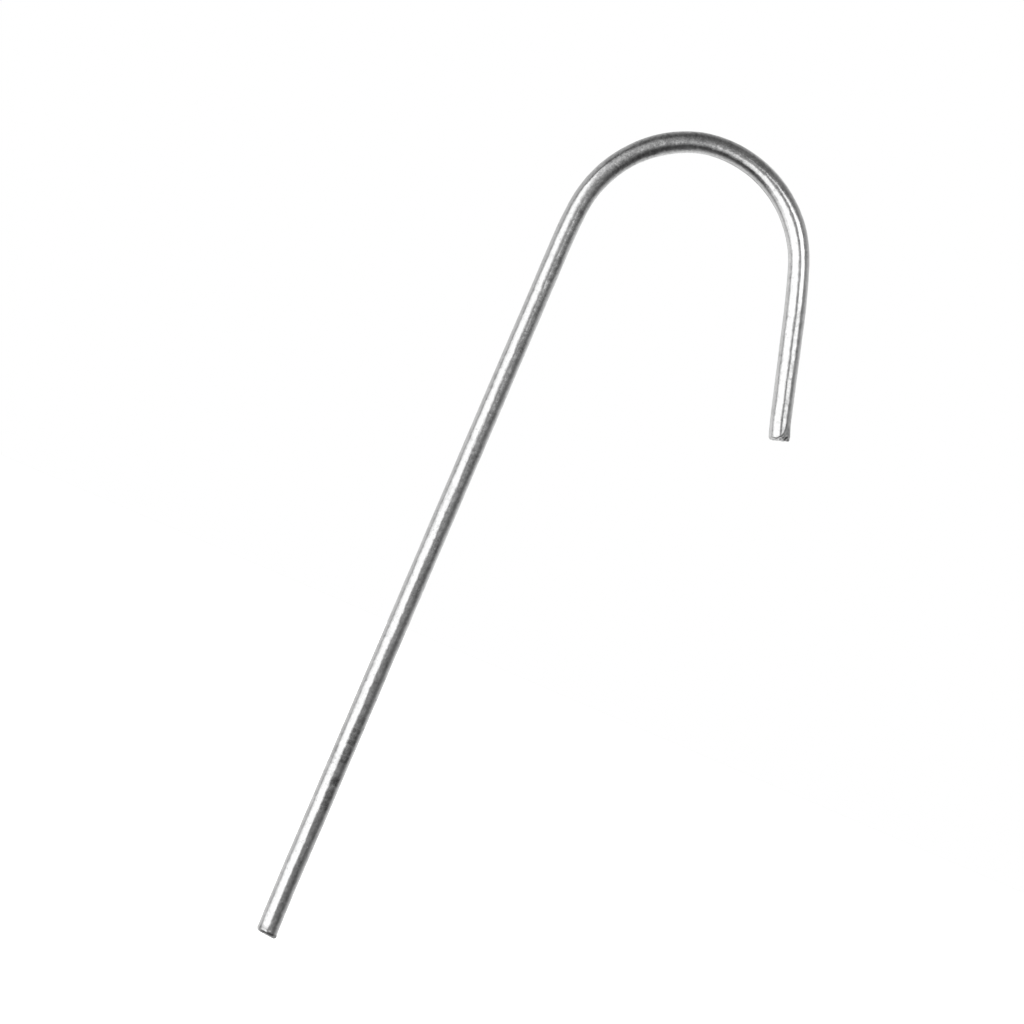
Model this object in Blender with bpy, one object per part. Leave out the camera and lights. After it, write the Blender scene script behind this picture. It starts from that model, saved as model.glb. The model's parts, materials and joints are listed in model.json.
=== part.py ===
"""A hooked wire tent stake: one length of round steel wire, bent over at the top into a crook.

The stake stands as it is used. The shank rises along +Z from the middle of its cut tip, which is
at the origin. The crook turns over towards +X, and the whole wire lies in the XZ plane. It stands
about 180 mm tall and takes 254 mm (10 inches) of wire.
"""

import math

import bmesh
import bpy
from mathutils import Matrix

MM = 0.001

WIRE_DIAMETER = 4.2 * MM

# The wire's centreline, from the tip: the straight shank, the bends of the crook one after another
# (radius, turn), and the straight tail, which comes down flaring away from the shank.
SHANK_LENGTH = 148.7 * MM
CROOK_BENDS = (
    (91.0 * MM, math.radians(4.9)),
    (24.3 * MM, math.radians(66.0)),
    (16.0 * MM, math.radians(10.1)),
    (23.3 * MM, math.radians(78.8)),
    (144.0 * MM, math.radians(4.4)),
)
TAIL_LENGTH = 23.8 * MM

# Both ends are sheared nearly square, a little longer on the tip's +X side and on the tail's outer
# side, and their rims are rounded over by the cut.
TIP_CUT_TILT = math.radians(4.8)
TAIL_CUT_TILT = math.radians(2.9)
RIM_ROUNDING = 0.35 * MM
RIM_STEPS = 3
SHARPEST_FACET = math.radians(45.0)

SIDES = 32
LONGEST_STEP = math.radians(3.5)

STEEL_COLOUR = (0.60, 0.61, 0.62, 1.0)
STEEL_ROUGHNESS = 0.32


def clear_scene():
    for obj in list(bpy.data.objects):
        bpy.data.objects.remove(obj)


def zinc_plated_steel():
    """Bright zinc plating over drawn steel wire."""
    material = bpy.data.materials.new("zinc_plated_steel")
    material.use_nodes = True
    shader = material.node_tree.nodes["Principled BSDF"]
    shader.inputs["Base Color"].default_value = STEEL_COLOUR
    shader.inputs["Metallic"].default_value = 1.0
    shader.inputs["Roughness"].default_value = STEEL_ROUGHNESS
    return material


def run_straight(mesh, rim, place, length):
    """Draw the open rim out along the wire. Returns the new rim and its place."""
    drawn = bmesh.ops.extrude_edge_only(mesh, edges=rim)["geom"]
    moved = [item for item in drawn if isinstance(item, bmesh.types.BMVert)]
    ahead = place.to_3x3().col[2] * length
    bmesh.ops.translate(mesh, verts=moved, vec=ahead)
    rim = [item for item in drawn if isinstance(item, bmesh.types.BMEdge)]
    return rim, place @ Matrix.Translation((0.0, 0.0, length))


def run_bend(mesh, rim, place, radius, turn):
    """Spin the open rim round one bend of the crook. Returns the new rim and its place."""
    to_centre = Matrix.Translation((radius, 0.0, 0.0))
    swept = bmesh.ops.spin(
        mesh,
        geom=rim,
        cent=(place @ to_centre).translation,
        axis=(0.0, 1.0, 0.0),
        angle=turn,
        steps=math.ceil(turn / LONGEST_STEP),
        use_duplicate=False,
    )["geom_last"]
    rim = [item for item in swept if isinstance(item, bmesh.types.BMEdge)]
    return rim, place @ to_centre @ Matrix.Rotation(turn, 4, "Y") @ to_centre.inverted()


def cut_end(mesh, rim, place, tilt):
    """Slope the end at this rim, so that it falls away from square by the tilt, and close it."""
    slope = Matrix.Identity(4)
    slope[2][0] = -math.tan(tilt)
    ends = {vert for edge in rim for vert in edge.verts}
    bmesh.ops.transform(mesh, matrix=place @ slope @ place.inverted(), verts=list(ends))
    bmesh.ops.contextual_create(mesh, geom=rim)


def stake_wire():
    """The bent wire: shank, crook and tail in one sweep of a round rim."""
    mesh = bmesh.new()
    place = Matrix.Identity(4)
    bmesh.ops.create_circle(mesh, cap_ends=False, segments=SIDES, radius=WIRE_DIAMETER / 2)
    tip_rim = list(mesh.edges)
    rim, place = run_straight(mesh, tip_rim, place, SHANK_LENGTH)
    for radius, turn in CROOK_BENDS:
        rim, place = run_bend(mesh, rim, place, radius, turn)
    tail_rim, place = run_straight(mesh, rim, place, TAIL_LENGTH)
    cut_end(mesh, tip_rim, Matrix.Identity(4), TIP_CUT_TILT)
    cut_end(mesh, tail_rim, place, TAIL_CUT_TILT)
    bmesh.ops.recalc_face_normals(mesh, faces=mesh.faces)

    data = bpy.data.meshes.new("stake_wire")
    mesh.to_mesh(data)
    mesh.free()
    data.materials.append(zinc_plated_steel())
    data.shade_smooth()
    data.set_sharp_from_angle(angle=SHARPEST_FACET)
    wire = bpy.data.objects.new("stake_wire", data)
    bpy.context.scene.collection.objects.link(wire)

    rounding = wire.modifiers.new("rounded_rims", "BEVEL")
    rounding.width = RIM_ROUNDING
    rounding.segments = RIM_STEPS
    rounding.limit_method = "ANGLE"
    rounding.angle_limit = SHARPEST_FACET
    return wire


clear_scene()
stake_wire()
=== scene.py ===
"""Looks of the hooked wire tent stake: zinc-plated steel wire, cut at both ends and bent cold.

The CAD wire is replaced by one swept mesh that follows the same bends, with what the plain CAD
wire leaves out: sheared ends, uneven thickness, pressed-in marks and the mottled zinc skin.
Lengths are in metres, in the CAD frame: +Z up the shank, +X from the shank to the tail. Angles
round the wire start at the crook's inner side and pass the back (90 degrees), the crook's outer
side (180) and the front (270).
"""

import json
import math
from collections import namedtuple

import bpy
import numpy as np
from mathutils import Matrix, Vector, noise


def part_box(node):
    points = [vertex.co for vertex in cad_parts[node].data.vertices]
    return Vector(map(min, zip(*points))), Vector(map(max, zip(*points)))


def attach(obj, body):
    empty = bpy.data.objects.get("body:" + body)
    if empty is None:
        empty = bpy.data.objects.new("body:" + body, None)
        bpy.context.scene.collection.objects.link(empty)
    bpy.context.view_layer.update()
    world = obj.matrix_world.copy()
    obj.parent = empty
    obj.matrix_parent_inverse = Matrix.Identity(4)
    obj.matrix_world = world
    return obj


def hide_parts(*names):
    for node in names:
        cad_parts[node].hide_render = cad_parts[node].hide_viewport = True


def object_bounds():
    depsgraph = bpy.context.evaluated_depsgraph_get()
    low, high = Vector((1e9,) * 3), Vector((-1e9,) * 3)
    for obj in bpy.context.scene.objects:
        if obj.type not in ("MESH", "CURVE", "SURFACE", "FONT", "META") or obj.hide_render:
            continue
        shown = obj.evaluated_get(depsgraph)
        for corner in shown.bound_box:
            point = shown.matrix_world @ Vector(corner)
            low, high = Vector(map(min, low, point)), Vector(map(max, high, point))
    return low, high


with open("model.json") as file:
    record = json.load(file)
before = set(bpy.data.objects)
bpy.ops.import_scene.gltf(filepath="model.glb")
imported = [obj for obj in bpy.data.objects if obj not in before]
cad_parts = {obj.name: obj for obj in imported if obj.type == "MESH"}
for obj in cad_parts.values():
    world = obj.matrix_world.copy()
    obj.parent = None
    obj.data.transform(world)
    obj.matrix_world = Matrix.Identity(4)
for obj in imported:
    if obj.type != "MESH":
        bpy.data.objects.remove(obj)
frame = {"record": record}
cad_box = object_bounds()

MM = 0.001

# The wire's route, the same as the CAD's: straight shank, five bends towards +X, straight tail.
SHANK_LENGTH = 148.7 * MM
CROOK_BENDS = (  # radius of each bend's centreline, and how far it turns
    (91.0 * MM, math.radians(4.9)),
    (24.3 * MM, math.radians(66.0)),
    (16.0 * MM, math.radians(10.1)),
    (23.3 * MM, math.radians(78.8)),
    (144.0 * MM, math.radians(4.4)),
)
TAIL_LENGTH = 23.8 * MM
WIRE_LENGTH = SHANK_LENGTH + sum(radius * turn for radius, turn in CROOK_BENDS) + TAIL_LENGTH
BEND_EASING = 3.0 * MM  # each bend's curvature comes and goes over this length

# The sheared ends. A cut leans from square: its first angle brings the crook's inner side nearer
# to the tip and its second one the back, at both ends. The whole face is set back from the CAD's.
# Its rim is rounded, by different amounts on the outer and inner sides and raggedly, and has an
# uneven lip, which may be chipped. The cutter also pushed the last of the wire sideways, a positive
# amount towards the crook's inner side.
Cut = namedtuple(
    "Cut", "lean set_back outer_rounding inner_rounding ragged lip chip push push_length"
)
TIP_CUT = Cut(
    lean=(math.radians(4.8), math.radians(7.2)), set_back=0.12 * MM, outer_rounding=0.75 * MM,
    inner_rounding=0.75 * MM, ragged=0.15, lip=0.02 * MM, chip=0.0,
    push=0.19 * MM, push_length=13 * MM,
)
TAIL_CUT = Cut(
    lean=(math.radians(1.5), math.radians(-5.0)), set_back=0.17 * MM, outer_rounding=0.50 * MM,
    inner_rounding=0.35 * MM, ragged=0.8, lip=0.12 * MM, chip=0.35 * MM,
    push=-0.18 * MM, push_length=5 * MM,
)
CHIP_ANGLE = math.radians(258)  # where the rim broke away, and how wide
CHIP_HALF_WIDTH = math.radians(20)
LIP_WAVES = 0.24  # size of the lip's ups and downs, as a share of the wire's radius
RAGGED_WAVES = 0.3  # the same for the rim's rounding
ROUNDING_LIMITS = (0.3, 2)  # the least and most that raggedness may scale the rounding by
FRACTURE_HEIGHT = 0.03 * MM  # roughness of the torn middle of a cut face
FRACTURE_WAVES = 0.25
FINE_FRACTURE_WAVES = 0.11
FINE_FRACTURE_SHARE = 0.6
BARENESS = 0.6  # how torn and bare a cut face is in its middle
BARENESS_SWING = 0.4  # and how much more on the inner side, and less on the outer side
TAIL_CUT_BARENESS = 0.4  # the tail's cut face is less bare than the tip's, by this factor
# The cutter's jaw pressed a curved flat on the tail, deepest at the end.
JAW_FLAT_ANGLE = math.radians(224)
JAW_FLAT_DEPTH = 0.90 * MM
JAW_FLAT_LENGTH = 4.5 * MM
JAW_FLAT_CURVE = 3  # the power that its depth grows by
FLAT_SOFTNESS = 0.02 * MM  # how round the edge between a flat and the wire is
LEAST_COSINE = 0.2  # keeps a flat's plane from reaching round to the wire's far side
# The former flattened the crook's inner side a little.
FORMER_FLAT_DEPTH = 0.03 * MM
FORMER_FLAT_NARROWNESS = 6  # the power of the cosine that gives its width
FORMER_FLAT_FADE = 6 * MM  # it comes and goes over this length inside the crook
FORMER_FLAT_OVERRUN = 2 * MM  # and runs this far into the tail
# Bending broke up the zinc's skin: it grows between the first two places and goes between the others.
WORKED_FROM = (158 * MM, 168 * MM)
WORKED_TO = (206 * MM, 192 * MM)
# The drawn wire isn't even: its thickness as a share of the CAD's, at places along it.
WIDTHS = (
    (0, 1.04), (2 * MM, 1.01), (12 * MM, 1.006), (25 * MM, 1.02), (37 * MM, 1.03), (60 * MM, 1.03),
    (75 * MM, 1.01), (115 * MM, 1.02), (140 * MM, 1.0), (171 * MM, 1.01), (179 * MM, 1.045),
    (187 * MM, 1.01), (195 * MM, 1.0), (203 * MM, 1.035), (211 * MM, 1.05), (219 * MM, 1.02),
    (226 * MM, 1.04), (235 * MM, 1.03), (251 * MM, 1.01), (WIRE_LENGTH, 1.0),
)

# The feed rollers pressed a row of small flats into the wire: how far along each is, its half
# length, its angle round the wire, its half width, how deep it is, and how much it dulled the zinc.
Mark = namedtuple("Mark", "along half_length angle half_width depth dullness")
ROLLER_MARKS = [
    Mark(
        along * MM, half_length * MM, math.radians(angle), math.radians(half_width),
        depth * MM, dullness,
    )
    for along, half_length, angle, half_width, depth, dullness in (
        (0.4, 1.4, 250, 30, 0.00, 0.70),
        (28.3, 0.9, 294, 22, 0.02, 0.60),
        (30.6, 1.0, 293, 24, 0.02, 0.65),
        (32.7, 0.8, 222, 12, 0.00, 0.20),
        (33.4, 0.8, 292, 26, 0.03, 0.85),
        (38.1, 0.7, 292, 26, 0.03, 0.80),
        (39.0, 1.5, 222, 14, 0.00, 0.25),
        (39.8, 0.6, 292, 25, 0.02, 0.75),
        (41.8, 0.5, 292, 26, 0.02, 0.85),
        (43.0, 0.4, 292, 26, 0.02, 0.80),
        (43.1, 0.8, 220, 14, 0.00, 0.25),
        (44.2, 0.4, 292, 26, 0.02, 0.80),
        (46.6, 0.8, 296, 20, 0.02, 0.40),
        (83.4, 0.7, 292, 22, 0.02, 0.40),
        (126.0, 0.5, 296, 18, 0.02, 0.60),
        (155.4, 0.8, 302, 18, 0.02, 0.55),
        (175.8, 0.5, 306, 16, 0.02, 0.50),
        (252.9, 1.3, 224, 42, 0.00, 0.25),
        (253.9, 0.7, 296, 22, 0.00, 0.30),
    )
]

MARK_FADE = (1.4, 0.7)  # a mark fades between these multiples of its half length
MARK_UNEVENNESS = (0.8, 0.35)  # the middle and the swing of a mark's strength

# Where feed rollers and the former scuffed the zinc: middle of the patch along the wire, its
# half length, its middle round the wire, its half width, and how strongly.
SCUFFS = (
    (36 * MM, 4 * MM, math.radians(250), math.radians(16), 0.25),
    (76 * MM, 6 * MM, math.radians(296), math.radians(24), 0.22),
    (90 * MM, 5.5 * MM, math.radians(250), math.radians(16), 0.20),
    (106 * MM, 7 * MM, math.radians(300), math.radians(22), 0.35),
    (148 * MM, 6 * MM, math.radians(305), math.radians(22), 0.40),
    (176 * MM, 12 * MM, math.radians(262), math.radians(60), 0.35),
)
PATCH_FADE = (1.3, 0.6)  # a patch fades between these multiples of its half length
ANGLE_FADE = (1.25, 0.8)  # and a mark, patch or chip between these of its half width
SCUFF_WIDTH = 0.8 * MM  # size of a single scuff across and along the wire
SCUFF_LENGTH = 0.6 * MM
SCUFF_EDGE = (0.0, 0.55)  # the noise that a scuff begins at and is full at

RELIEF = (  # the zinc skin's unevenness: size across and along the wire, and height
    (1.6 * MM, 6.0 * MM, 0.020 * MM),
    (0.7 * MM, 1.3 * MM, 0.010 * MM),
    (0.42 * MM, 0.5 * MM, 0.005 * MM),
)
NOISE_REACH = 1.6  # brings mathutils' noise to about -1 to 1
SEED_STEP = 17.3  # how far apart in the noise two seeds are

# The mesh. "unbent" is each point's place on the wire before bending: towards the crook's inner
# side, towards the back, and along the wire from the middle of the tip.
SIDES = 64
RINGS = 1240
RIM_RINGS = 5
FACE_RINGS = 12
LINE_STATIONS = 4000  # points of the middle line at which its bends are worked out

lowest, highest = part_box("stake_wire")
WIRE_RADIUS = (highest.y - lowest.y) / 2
mounts = {m["name"]: m for m in frame["record"]["mounts"]}


# ---- the wire before bending -----------------------------------------------------------------

def smooth_noise(points, across, along, seed):
    """Noise from about -1 to 1 at unbent points, with features of those sizes."""
    scaled = points / np.array((across, across, along)) + seed * SEED_STEP
    return np.array([noise.noise(Vector(p)) for p in scaled.tolist()]) * NOISE_REACH


def smooth_step(value, start, end):
    """0 where value is at start or before, 1 where it is at end or beyond, smooth between."""
    t = np.clip((value - start) / (end - start), 0, 1)
    return t * t * (3 - 2 * t)


def flattened(radius, around, angle, distance):
    """The radius cut back to a flat that faces that angle, that far from the wire's middle."""
    reach = distance / np.maximum(np.cos(around - angle), LEAST_COSINE)
    share = np.clip(0.5 + (reach - radius) / (2 * FLAT_SOFTNESS), 0, 1)
    return reach * (1 - share) + radius * share - FLAT_SOFTNESS * share * (1 - share)


def wire_radius(around, along):
    """Radius of the drawn and bent wire at these angles and distances, before the fine relief."""
    round_radius = WIRE_RADIUS * np.interp(along, *zip(*WIDTHS))
    from_tail = WIRE_LENGTH - along
    bent = smooth_step(along, SHANK_LENGTH, SHANK_LENGTH + FORMER_FLAT_FADE)
    bent = bent * smooth_step(
        from_tail, TAIL_LENGTH - FORMER_FLAT_OVERRUN, TAIL_LENGTH + FORMER_FLAT_FADE
    )
    inner = np.clip(np.cos(around), 0, 1) ** FORMER_FLAT_NARROWNESS
    radius = round_radius - FORMER_FLAT_DEPTH * bent * inner
    for mark in ROLLER_MARKS:
        near = near_mark(mark, along)
        if mark.depth > 0 and near.max() > 0:
            pressed = flattened(radius, around, mark.angle, round_radius - mark.depth)
            radius = radius + (pressed - radius) * near
    pressed_in = JAW_FLAT_DEPTH * (1 - from_tail / JAW_FLAT_LENGTH) ** JAW_FLAT_CURVE
    return flattened(radius, around, JAW_FLAT_ANGLE, WIRE_RADIUS - pressed_in)


def near_mark(mark, along):
    """1 along the middle of a roller mark, 0 past its ends."""
    start, end = (mark.half_length * share for share in MARK_FADE)
    return smooth_step(np.abs(along - mark.along), start, end)


def within_angle(around, angle, half_width):
    """1 near that angle round the wire, 0 well past the half width."""
    off_angle = np.abs((around - angle + math.pi) % (2 * math.pi) - math.pi)
    start, end = (half_width * share for share in ANGLE_FADE)
    return smooth_step(off_angle, start, end)


def cut_end(around, cut, end, outward):
    """Rings of one sheared end, from its rim's start to the middle of its face."""
    turned = (1 + np.cos(around)) / 2
    round_off = cut.outer_rounding + (cut.inner_rounding - cut.outer_rounding) * turned
    circle = np.stack((np.cos(around), np.sin(around), np.zeros(SIDES)), axis=1)
    lip = cut.lip * smooth_noise(circle, LIP_WAVES, 1.0, 3 + outward)
    ragged = 1 + cut.ragged * smooth_noise(circle, RAGGED_WAVES, 1.0, 12 + outward)
    round_off = round_off * np.clip(ragged, *ROUNDING_LIMITS)
    lip = lip - cut.chip * within_angle(around, CHIP_ANGLE, CHIP_HALF_WIDTH)
    rows = []
    for step in range(RIM_RINGS + 1):
        angle = math.pi / 2 * step / RIM_RINGS
        radius = wire_radius(around, np.full(SIDES, end)) - round_off * (1 - math.cos(angle))
        rows.append((radius, lip * math.sin(angle) - round_off * (1 - math.sin(angle))))
    rim = rows[-1][0]
    for step in range(1, FACE_RINGS):
        inside = step / FACE_RINGS
        disc = circle * (1 - inside)
        fine = smooth_noise(disc, FINE_FRACTURE_WAVES, 1.0, 9 + outward)
        torn = smooth_noise(disc, FRACTURE_WAVES, 1.0, 6 + outward) + FINE_FRACTURE_SHARE * fine
        rows.append((rim * (1 - inside), lip * (1 - inside) + FRACTURE_HEIGHT * torn))
    points = []
    for radius, raised in rows:
        side = radius * np.cos(around)
        depth = radius * np.sin(around)
        leaned = -side * math.tan(cut.lean[0]) - depth * math.tan(cut.lean[1])
        along = end + leaned + outward * (raised - cut.set_back)
        points.append(np.stack((side, depth, along), axis=1))
    return points


def straight_wire():
    """The wire before bending: rings of points from the tip's middle to the tail's, in order."""
    around = np.arange(SIDES) * 2 * math.pi / SIDES
    tip = cut_end(around, TIP_CUT, 0.0, -1)
    tail = cut_end(around, TAIL_CUT, WIRE_LENGTH, 1)
    rows = tip[::-1]
    first, last = tip[0][:, 2], tail[0][:, 2]
    for ring in range(1, RINGS):
        share = ring / RINGS
        along = first * (1 - share) + last * share
        radius = wire_radius(around, along)
        rows.append(np.stack((radius * np.cos(around), radius * np.sin(around), along), axis=1))
    rows.extend(tail)
    return np.concatenate(rows), len(rows)


def add_relief(points):
    """Moves the points of the wire's side in and out by the zinc skin's unevenness."""
    outward = points * np.array((1, 1, 0))
    outward /= np.maximum(np.linalg.norm(outward, axis=1, keepdims=True), 1e-9)
    height = np.zeros(len(points))
    for number, (across, along, size) in enumerate(RELIEF):
        height += size * smooth_noise(points, across, along, number)
    return points + outward * height[:, None]


def scuff_strength(points):
    """How scuffed each unbent point is, from 0 to 1: short marks across the wire, in patches."""
    around = np.arctan2(points[:, 1], points[:, 0])
    streaks = smooth_step(smooth_noise(points, SCUFF_WIDTH, SCUFF_LENGTH, 11), *SCUFF_EDGE)
    middle_strength, swing = MARK_UNEVENNESS
    uneven = middle_strength + swing * smooth_noise(points, SCUFF_WIDTH, SCUFF_WIDTH, 12)
    strength = np.zeros(len(points))
    for middle, half_length, angle, half_width, amount in SCUFFS:
        start, end = (half_length * share for share in PATCH_FADE)
        near = smooth_step(np.abs(points[:, 2] - middle), start, end)
        near = near * within_angle(around, angle, half_width)
        strength = np.maximum(strength, near * streaks * amount)
    for mark in ROLLER_MARKS:
        near = near_mark(mark, points[:, 2]) * within_angle(around, mark.angle, mark.half_width)
        strength = np.maximum(strength, near * uneven * mark.dullness)
    return strength


# ---- bending ---------------------------------------------------------------------------------

def bend(points):
    """Where unbent points come to lie in the frame once the wire is bent into its crook."""
    stations = np.linspace(0.0, WIRE_LENGTH, LINE_STATIONS)
    edges = [SHANK_LENGTH]
    for radius, turn in CROOK_BENDS:
        edges.append(edges[-1] + radius * turn)
    curvature = np.zeros(len(stations))
    for (radius, turn), start, end in zip(CROOK_BENDS, edges, edges[1:]):
        into = np.clip((stations - start) / BEND_EASING + 0.5, 0, 1)
        out_of = np.clip((stations - end) / BEND_EASING + 0.5, 0, 1)
        curvature += (into - out_of) / radius
    step = stations[1] - stations[0]
    heading = np.concatenate(([0.0], np.cumsum((curvature[1:] + curvature[:-1]) / 2 * step)))
    between = (heading[1:] + heading[:-1]) / 2
    line_x = np.concatenate(([0.0], np.cumsum(np.sin(between) * step)))
    line_z = np.concatenate(([0.0], np.cumsum(np.cos(between) * step)))

    side, depth, along = points.T
    for cut, from_end in ((TIP_CUT, along), (TAIL_CUT, WIRE_LENGTH - along)):
        side = side + cut.push * np.clip(1 - from_end / cut.push_length, 0, 1) ** 2
    on_line = np.clip(along, 0, WIRE_LENGTH)
    past_end = along - on_line
    turned = np.interp(on_line, stations, heading)
    x = np.interp(on_line, stations, line_x) + side * np.cos(turned) + past_end * np.sin(turned)
    z = np.interp(on_line, stations, line_z) - side * np.sin(turned) + past_end * np.cos(turned)
    return np.stack((x, depth, z), axis=1) + np.array(mounts["tip_end"]["pos_m"])


def cut_strength(count):
    """How torn and bare the steel is at each point: only on the cuts, least on the outer side."""
    torn = BARENESS + BARENESS_SWING * np.cos(np.arange(SIDES) * 2 * math.pi / SIDES)
    strength = np.zeros((count, SIDES))
    strength[:FACE_RINGS] = torn
    strength[FACE_RINGS:FACE_RINGS + RIM_RINGS] = np.clip(2 * torn - 1, 0, 1)
    strength[-FACE_RINGS:] = torn * TAIL_CUT_BARENESS
    return np.append(strength.ravel(), (BARENESS, BARENESS * TAIL_CUT_BARENESS))


def keep_on_points(mesh, name, values):
    """Stores a number or a vector at each of the mesh's points, for the material to read."""
    kind, key = ("FLOAT", "value") if values.ndim == 1 else ("FLOAT_VECTOR", "vector")
    attribute = mesh.attributes.new(name, kind, "POINT")
    attribute.data.foreach_set(key, values.astype(np.float32).ravel())


def stake_mesh():
    """The whole wire as one closed mesh, with what the material needs to know of each point."""
    rings, count = straight_wire()
    ends = np.array(((0.0, 0.0, 0.0), (0.0, 0.0, WIRE_LENGTH)))
    rings = add_relief(rings)
    unbent = np.concatenate((rings, ends))
    faces = []
    for ring in range(count - 1):
        for k in range(SIDES):
            a = ring * SIDES + k
            b = ring * SIDES + (k + 1) % SIDES
            faces.append((a, b, b + SIDES, a + SIDES))
    tip_middle = count * SIDES
    last = (count - 1) * SIDES
    for k in range(SIDES):
        beside = (k + 1) % SIDES
        faces.append((beside, k, tip_middle))
        faces.append((last + k, last + beside, tip_middle + 1))
    mesh = bpy.data.meshes.new("zinc_plated_wire")
    mesh.from_pydata(bend(unbent).tolist(), [], faces)
    keep_on_points(mesh, "unbent", unbent)
    sheared = cut_strength(count)
    keep_on_points(mesh, "sheared", sheared)
    keep_on_points(mesh, "scuffed", np.where(sheared > 0, 0, scuff_strength(unbent)))
    along = unbent[:, 2]
    worked = smooth_step(along, *WORKED_FROM) * smooth_step(along, *WORKED_TO)
    keep_on_points(mesh, "worked", worked)
    mesh.shade_smooth()
    mesh.update()
    return mesh


# ---- materials -------------------------------------------------------------------------------

# Sizes of the zinc's patterns.
BLOTCH_SIZE = 1.6 * MM
CRYSTAL_SIZE = 0.45 * MM
DRAWING_LINE_WIDTH = 0.30 * MM
DRAWING_LINE_SHORTENING = 0.05  # makes the drawing lines 20 times as long as wide
DULL_SPOT_SIZE = 0.70 * MM
CRYSTAL_HEIGHT = 0.013 * MM
DRAWING_LINE_HEIGHT = 0.35  # as a share of the crystals'
NOISE_ROUGHNESS = 0.6  # how strong each finer octave of a noise texture is
NOISE_RANGE = (0.3, 0.7)  # nearly all of a noise texture's values lie between these
SPOT_RANGE = (0.62, 0.75)  # a dull spot begins at the first and is full at the second
BLOTCH_GLOSS_RANGE = (0.35, 0.7)
# The zinc's shade, and how far each pattern takes it up and down, or only down.
ZINC_SHADE = 0.61
BLOTCH_SHADE = 0.07
CRYSTAL_SHADE = 0.065
WORKED_SHADE = 0.07
DRAWING_LINE_SHADE = 0.02
DULL_SPOT_DARKNESS = 0.14
SCUFF_DARKNESS = 0.40
SHEARED_DARKNESS = 0.30
# Its roughness, from the glossiest crystals to the dullest, and what is added to it.
CRYSTAL_ROUGHNESS = (0.16, 0.24)
BLOTCH_ROUGHNESS = (-0.02, 0.05)
SCUFF_ROUGHNESS = 0.08
SHEARED_ROUGHNESS = 0.18


class NodeTree:
    """Short names for building a shader's nodes."""

    def __init__(self, tree):
        self.tree = tree

    def node(self, kind, **settings):
        made = self.tree.nodes.new(kind)
        for name, value in settings.items():
            setattr(made, name, value)
        return made

    def put(self, socket, value):
        if isinstance(value, bpy.types.NodeSocket):
            self.tree.links.new(value, socket)
        else:
            socket.default_value = value

    def math(self, operation, *values):
        made = self.node("ShaderNodeMath", operation=operation)
        for socket, value in zip(made.inputs, values):
            self.put(socket, value)
        return made.outputs["Value"]

    def dot(self, vector, fixed):
        made = self.node("ShaderNodeVectorMath", operation="DOT_PRODUCT")
        self.put(made.inputs[0], vector)
        made.inputs[1].default_value = fixed
        return made.outputs["Value"]

    def fade(self, value, start, end):
        """0 where value is at start, 1 where it is at end, smooth between."""
        made = self.node("ShaderNodeMapRange", interpolation_type="SMOOTHSTEP")
        self.put(made.inputs["Value"], value)
        made.inputs["From Min"].default_value = start
        made.inputs["From Max"].default_value = end
        return made.outputs["Result"]

    def noise(self, vector, size, detail, seed):
        """Noise from 0 to 1 with features of about that size, in metres."""
        made = self.node("ShaderNodeTexNoise", noise_dimensions="4D")
        self.put(made.inputs["Vector"], vector)
        made.inputs["W"].default_value = seed
        made.inputs["Scale"].default_value = 1 / size
        made.inputs["Detail"].default_value = detail
        made.inputs["Roughness"].default_value = NOISE_ROUGHNESS
        return made.outputs["Fac"]

    def stretched(self, vector, along):
        """The unbent coordinates shortened along the wire, so that what is drawn there is long."""
        made = self.node("ShaderNodeVectorMath", operation="MULTIPLY")
        self.put(made.inputs[0], vector)
        made.inputs[1].default_value = (1, 1, along)
        return made.outputs["Vector"]

    def between(self, value, start, end, low, high):
        """Low where value is at start or before, high where it is at end or beyond."""
        made = self.node("ShaderNodeMapRange")
        self.put(made.inputs["Value"], value)
        made.inputs["From Min"].default_value = start
        made.inputs["From Max"].default_value = end
        made.inputs["To Min"].default_value = low
        made.inputs["To Max"].default_value = high
        return made.outputs["Result"]

    def swing(self, value, amount):
        """A noise's ups and downs, from minus to plus that amount."""
        return self.between(value, *NOISE_RANGE, -amount, amount)

    def scaled(self, value, factor):
        return self.math("MULTIPLY", value, factor)


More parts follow.
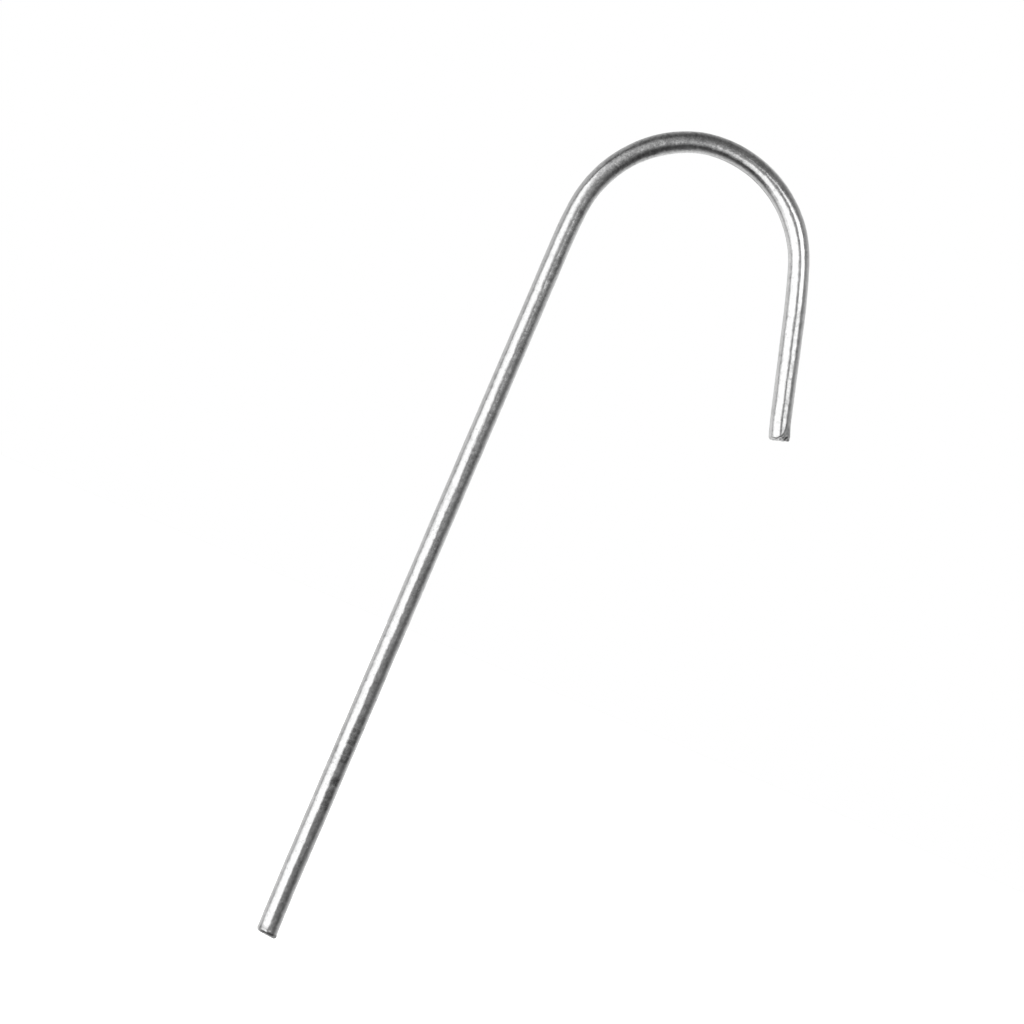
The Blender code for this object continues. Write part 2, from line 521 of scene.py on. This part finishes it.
def zinc_plated_steel():
    """Satin zinc: grey crystals, dull blotches, fine drawing lines and the feed rollers' scuffs."""
    material = bpy.data.materials.new("zinc_plated_steel")
    material.use_nodes = True
    shader = material.node_tree.nodes["Principled BSDF"]
    build = NodeTree(material.node_tree)
    unbent = build.node("ShaderNodeAttribute", attribute_name="unbent").outputs["Vector"]
    scuffed = build.node("ShaderNodeAttribute", attribute_name="scuffed").outputs["Fac"]
    sheared = build.node("ShaderNodeAttribute", attribute_name="sheared").outputs["Fac"]
    worked = build.node("ShaderNodeAttribute", attribute_name="worked").outputs["Fac"]

    blotches = build.noise(unbent, BLOTCH_SIZE, detail=3.0, seed=1.0)
    crystals = build.noise(unbent, CRYSTAL_SIZE, detail=2.0, seed=2.0)
    lengthways = build.stretched(unbent, DRAWING_LINE_SHORTENING)
    drawing_lines = build.noise(lengthways, DRAWING_LINE_WIDTH, detail=2.0, seed=3.0)
    dull_spots = build.noise(unbent, DULL_SPOT_SIZE, detail=1.0, seed=4.0)

    shade = build.math("ADD", build.swing(blotches, BLOTCH_SHADE), ZINC_SHADE)
    shade = build.math("ADD", shade, build.swing(crystals, CRYSTAL_SHADE))
    broken_up = build.math("MULTIPLY", worked, build.swing(crystals, WORKED_SHADE))
    shade = build.math("ADD", shade, broken_up)
    shade = build.math("ADD", shade, build.swing(drawing_lines, DRAWING_LINE_SHADE))
    spots = build.between(dull_spots, *SPOT_RANGE, 0.0, DULL_SPOT_DARKNESS)
    shade = build.math("SUBTRACT", shade, spots)
    shade = build.math("SUBTRACT", shade, build.scaled(scuffed, SCUFF_DARKNESS))
    shade = build.math("SUBTRACT", shade, build.scaled(sheared, SHEARED_DARKNESS))
    colour = build.node("ShaderNodeCombineColor")
    for channel in colour.inputs:
        build.put(channel, shade)
    build.put(shader.inputs["Base Color"], colour.outputs["Color"])

    roughness = build.between(crystals, *NOISE_RANGE, *CRYSTAL_ROUGHNESS)
    uneven = build.between(blotches, *BLOTCH_GLOSS_RANGE, *BLOTCH_ROUGHNESS)
    roughness = build.math("ADD", roughness, uneven)
    roughness = build.math("ADD", roughness, build.scaled(scuffed, SCUFF_ROUGHNESS))
    roughness = build.math("ADD", roughness, build.scaled(sheared, SHEARED_ROUGHNESS))
    build.put(shader.inputs["Roughness"], roughness)
    shader.inputs["Metallic"].default_value = 1

    height = build.math("MULTIPLY", crystals, build.math("ADD", worked, 1.0))
    height = build.math("ADD", height, build.scaled(drawing_lines, DRAWING_LINE_HEIGHT))
    bump = build.node("ShaderNodeBump")
    bump.inputs["Strength"].default_value = 1
    bump.inputs["Distance"].default_value = CRYSTAL_HEIGHT
    build.put(bump.inputs["Height"], height)
    build.put(shader.inputs["Normal"], bump.outputs["Normal"])
    return material


# ---- studio ----------------------------------------------------------------------------------

# Soft light panels all round the stake: where each one hangs as seen from the stake (azimuth 0 is
# the camera's side and grows towards +X), how far it is turned, its half width and half height,
# how softly its sides and its top and bottom edges fade, all in degrees, and its brightness.
PANELS = (
    ("key softbox", (-40, -8, -30), (37, 24), (3, 2), 1.12),
    ("low key softbox", (-66, -33, -5), (19, 17), (7, 10), 1.18),
    ("fill softbox", (33.5, 22.5, 14), (19.5, 12), (2, 2), 1.85),
    ("high card", (-27, -3.5, 26), (26, 41), (10, 14), 0.41),
    ("side card", (-97, 0, -2), (16, 40), (10, 20), 0.20),
    ("dark card", (87, -68, 7), (68, 73), (32, 44), -0.46),
    ("back card", (188, -3, 0), (11, 24), (5, 14), -0.60),
    ("back softbox", (160, 13, 5), (9, 35), (4, 15), 0.55),
)
# The room's own light: its brightness, and how much that grows along x, y and z. FRONT_ROOM is all
# round, and BACK_ROOM is added behind the stake, where a direction's y passes from the first to the
# second number of BACK_ROOM_FADE.
FRONT_ROOM = (0.35, (0.09, 0.0, -0.23))
BACK_ROOM = (0.59, (-0.01, 0.0, -0.30))
BACK_ROOM_FADE = (-0.35, 0.75)
DARKEST = 0.03  # nothing around the stake is darker than this
OVERHEAD_SPREAD = math.radians(80)
OVERHEAD_STRENGTH = 4.2
FLOOR_HALF_SIZE = 3.0
FLOOR_DROP = 60 * MM  # the stake hangs this far above the floor, clear of its own shadow
FLOOR_SHADE = 0.9
FLOOR_ROUGHNESS = 0.9


def panel_axes(azimuth, elevation, roll):
    """The directions towards a panel, across it and up it."""
    a, e, r = (math.radians(v) for v in (azimuth, elevation, roll))
    towards = Vector((math.sin(a) * math.cos(e), -math.cos(a) * math.cos(e), math.sin(e)))
    level = Vector((math.cos(a), math.sin(a), 0))
    upright = level.cross(towards)
    if upright.z < 0:
        upright = -upright
    across = level * math.cos(r) + upright * math.sin(r)
    up = upright * math.cos(r) - level * math.sin(r)
    return towards, across, up


def panel(build, direction, aim, half_size, edge, brightness):
    """The light of one panel in each direction, nothing outside its soft edges."""
    towards, across, up = panel_axes(*aim)
    ahead = build.dot(direction, towards)
    masks = []
    for axis, half, soft in zip((across, up), half_size, edge):
        off_axis = build.math("ABSOLUTE", build.dot(direction, axis))
        angle = build.math("ARCTAN2", off_axis, ahead)
        masks.append(build.fade(angle, math.radians(half + soft), math.radians(half - soft)))
    return build.math("MULTIPLY", build.math("MULTIPLY", *masks), brightness)


def studio_light():
    """The panels and the room as the zinc mirrors them. The camera sees plain white instead."""
    world = bpy.data.worlds.new("studio")
    bpy.context.scene.world = world
    world.use_nodes = True
    tree = world.node_tree
    tree.nodes.clear()
    build = NodeTree(tree)
    direction = build.node("ShaderNodeTexCoord").outputs["Generated"]
    front = build.math("ADD", build.dot(direction, FRONT_ROOM[1]), FRONT_ROOM[0])
    back = build.math("ADD", build.dot(direction, BACK_ROOM[1]), BACK_ROOM[0])
    behind = build.fade(build.dot(direction, (0, 1, 0)), *BACK_ROOM_FADE)
    light = build.math("ADD", front, build.math("MULTIPLY", back, behind))
    light = build.math("MAXIMUM", light, DARKEST)
    for _, aim, half_size, edge, brightness in PANELS:
        light = build.math("ADD", light, panel(build, direction, aim, half_size, edge, brightness))
    light = build.math("MAXIMUM", light, DARKEST)
    reflected = build.node("ShaderNodeBackground")
    reflected.inputs["Color"].default_value = (1, 1, 1, 1)
    build.put(reflected.inputs["Strength"], light)
    backdrop = build.node("ShaderNodeBackground")
    backdrop.inputs["Color"].default_value = (1, 1, 1, 1)
    seen = build.node("ShaderNodeLightPath").outputs["Is Camera Ray"]
    mix = build.node("ShaderNodeMixShader")
    build.put(mix.inputs["Fac"], seen)
    build.put(mix.inputs[1], reflected.outputs[0])
    build.put(mix.inputs[2], backdrop.outputs[0])
    output = build.node("ShaderNodeOutputWorld")
    build.put(output.inputs["Surface"], mix.outputs[0])


def white_floor(level):
    """A pale floor at that height, and the soft lamp above that lights it evenly."""
    half = FLOOR_HALF_SIZE
    corners = [(x * half, y * half, level) for x, y in ((-1, -1), (1, -1), (1, 1), (-1, 1))]
    mesh = bpy.data.meshes.new("floor")
    mesh.from_pydata(corners, [], [(0, 1, 2, 3)])
    floor = bpy.data.objects.new("floor", mesh)
    bpy.context.scene.collection.objects.link(floor)
    material = bpy.data.materials.new("pale_floor")
    material.use_nodes = True
    shader = material.node_tree.nodes["Principled BSDF"]
    shader.inputs["Base Color"].default_value = (FLOOR_SHADE, FLOOR_SHADE, FLOOR_SHADE, 1)
    shader.inputs["Roughness"].default_value = FLOOR_ROUGHNESS
    floor.data.materials.append(material)
    floor.visible_glossy = False  # the zinc mirrors only the room and its panels
    lamp = bpy.data.lights.new("overhead", "SUN")
    lamp.angle = OVERHEAD_SPREAD
    lamp.energy = OVERHEAD_STRENGTH
    overhead = bpy.data.objects.new("overhead", lamp)
    overhead.visible_glossy = False
    bpy.context.scene.collection.objects.link(overhead)


# ---- camera ----------------------------------------------------------------------------------

CAMERA_ROLL = math.radians(23.2)
CAMERA_LENS = 125  # millimetres, on a sensor 36 mm wide
CAMERA_SENSOR = 36
CAMERA_DISTANCE = 702.2 * MM
AIM_FROM_CENTRE = Vector((-15.31 * MM, 0, 5.86 * MM))


def photo_camera():
    """The camera, square to the wire's plane and rolled, so that the stake leans in the picture."""
    centre = (Vector(cad_box[0]) + Vector(cad_box[1])) / 2
    data = bpy.data.cameras.new("camera")
    data.lens = CAMERA_LENS
    data.sensor_width = CAMERA_SENSOR
    camera = bpy.data.objects.new("camera", data)
    right = Vector((math.cos(CAMERA_ROLL), 0, math.sin(CAMERA_ROLL)))
    up = Vector((-math.sin(CAMERA_ROLL), 0, math.cos(CAMERA_ROLL)))
    back = Vector((0, -1, 0))
    place = Matrix((right, up, back)).transposed().to_4x4()
    place.translation = centre + AIM_FROM_CENTRE + back * CAMERA_DISTANCE
    camera.matrix_world = place
    bpy.context.scene.collection.objects.link(camera)
    bpy.context.scene.camera = camera


stake = bpy.data.objects.new("hooked_wire", stake_mesh())
bpy.context.scene.collection.objects.link(stake)
stake.data.materials.append(zinc_plated_steel())
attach(stake, "root")
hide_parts("stake_wire")

white_floor(cad_box[0].z - FLOOR_DROP)
studio_light()
photo_camera()
bpy.context.scene.view_settings.view_transform = "Standard"
